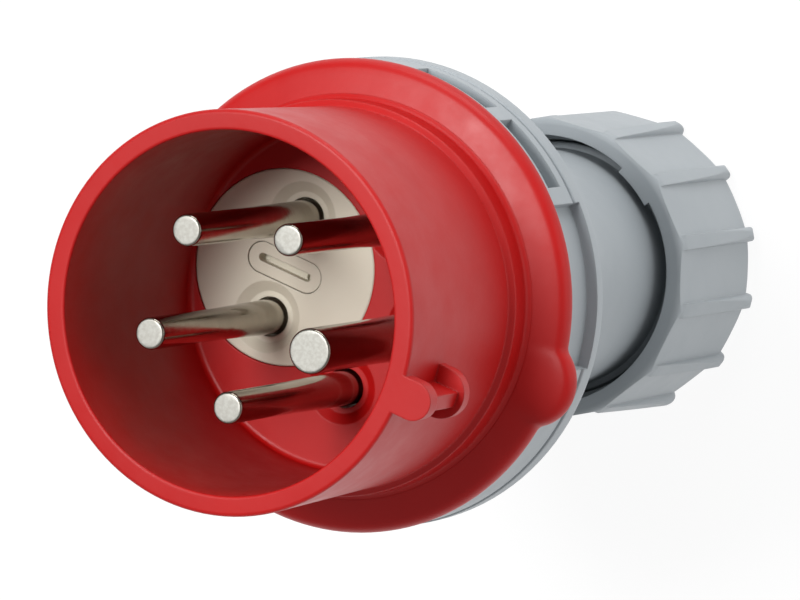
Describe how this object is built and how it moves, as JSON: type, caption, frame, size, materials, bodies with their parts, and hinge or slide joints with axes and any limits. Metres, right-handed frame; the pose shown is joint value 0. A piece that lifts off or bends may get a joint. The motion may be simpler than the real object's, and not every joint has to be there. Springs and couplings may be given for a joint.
{
  "type": "industrial pin and sleeve plug",
  "caption": "Round industrial plug with contact pins in a red sleeve, a turnable pin disc, a grey bayonet housing and a ribbed cable gland nut.",
  "frame": {"origin": "centre of the cable outlet in the flat back of the gland nut, which the plug stands on", "axes": "+Z along the plug axis from the gland nut to the mouth of the sleeve, the way the pins point; -Y towards the earth pin, the key and the flange ear; +X completes the right-handed frame"},
  "size_m": [0.0752, 0.0784, 0.1525],
  "materials": {
    "red_plastic": "satin moulded polyamide",
    "grey_plastic": "satin moulded polyamide",
    "beige_plastic": "matt moulded thermoset",
    "dark_plastic": "matt moulded thermoset",
    "washer_plastic": "matt",
    "clamp_plastic": "matt",
    "nickel_pin": "turned brass with a bright nickel plate",
    "zinc_screw": "zinc-plated steel",
    "spring_steel": "drawn wire",
    "black_rubber": "matt"
  },
  "bodies": {
    "housing": {"rear_housing": "grey_plastic", "housing_seal": "black_rubber", "gland_seal": "black_rubber"},
    "front": {"front_shroud": "red_plastic", "contact_carrier": "dark_plastic", "carrier_screws": "zinc_screw", "pin_l1": "nickel_pin", "pin_n": "nickel_pin", "pin_earth": "nickel_pin"},
    "disc": {"phase_disc": "beige_plastic", "pin_l2": "nickel_pin", "pin_l3": "nickel_pin", "disc_cap": "beige_plastic", "disc_cap_screws": "zinc_screw", "latch_spring": "spring_steel"},
    "latch": {"disc_latch": "beige_plastic"},
    "screw_l1_body": {"screw_l1": "zinc_screw"},
    "screw_n_body": {"screw_n": "zinc_screw"},
    "screw_earth_body": {"screw_earth": "zinc_screw"},
    "screw_l2_body": {"screw_l2": "zinc_screw"},
    "screw_l3_body": {"screw_l3": "zinc_screw"},
    "pusher": {"gland_washer": "washer_plastic", "clamp_cage": "clamp_plastic"},
    "nut": {"gland_nut": "grey_plastic"}
  },
  "joints": [
    {"name": "front_twist", "type": "hinge", "parent": "housing", "child": "front", "pos_m": [0, 0, 0.0995], "axis": [0, 0, 1], "range_deg": [0, 25]},
    {"name": "phase_swap", "type": "hinge", "parent": "front", "child": "disc", "pos_m": [0, 0.01181, 0.1065], "axis": [0, 0, 1], "range_deg": [0, 180]},
    {"name": "latch_press", "type": "slide", "parent": "disc", "child": "latch", "axis": [0, 0, -1], "range_m": [0, 0.002], "stiffness_N_per_m": 1200, "springref_m": -0.0012, "deforming": ["latch_spring"]},
    {"name": "nut_travel", "type": "slide", "parent": "housing", "child": "pusher", "axis": [0, 0, -1], "range_m": [0, 0.009]},
    {"name": "nut_turn", "type": "hinge", "parent": "pusher", "child": "nut", "pos_m": [0, 0, 0.016], "axis": [0, 0, -1], "range_deg": [0, 1081]},
    {"name": "screw_l1_turn", "type": "hinge", "parent": "front", "child": "screw_l1_body", "pos_m": [0.01388, -0.00451, 0.085], "axis": [0.9511, -0.309, 0], "range_deg": [0, 720]},
    {"name": "screw_n_turn", "type": "hinge", "parent": "front", "child": "screw_n_body", "pos_m": [-0.01388, -0.00451, 0.085], "axis": [-0.9511, -0.309, 0], "range_deg": [0, 720]},
    {"name": "screw_earth_turn", "type": "hinge", "parent": "front", "child": "screw_earth_body", "pos_m": [0, -0.0146, 0.085], "axis": [0, -1, 0], "range_deg": [0, 720]},
    {"name": "screw_l2_turn", "type": "hinge", "parent": "disc", "child": "screw_l2_body", "pos_m": [0.00858, 0.01181, 0.085], "axis": [1, 0, 0], "range_deg": [0, 720]},
    {"name": "screw_l3_turn", "type": "hinge", "parent": "disc", "child": "screw_l3_body", "pos_m": [-0.00858, 0.01181, 0.085], "axis": [-1, 0, 0], "range_deg": [0, 720]}
  ],
  "couplings": [
    {"joint": "nut_turn", "follows": "nut_travel", "rad_per_m": 2094.4}
  ]
}
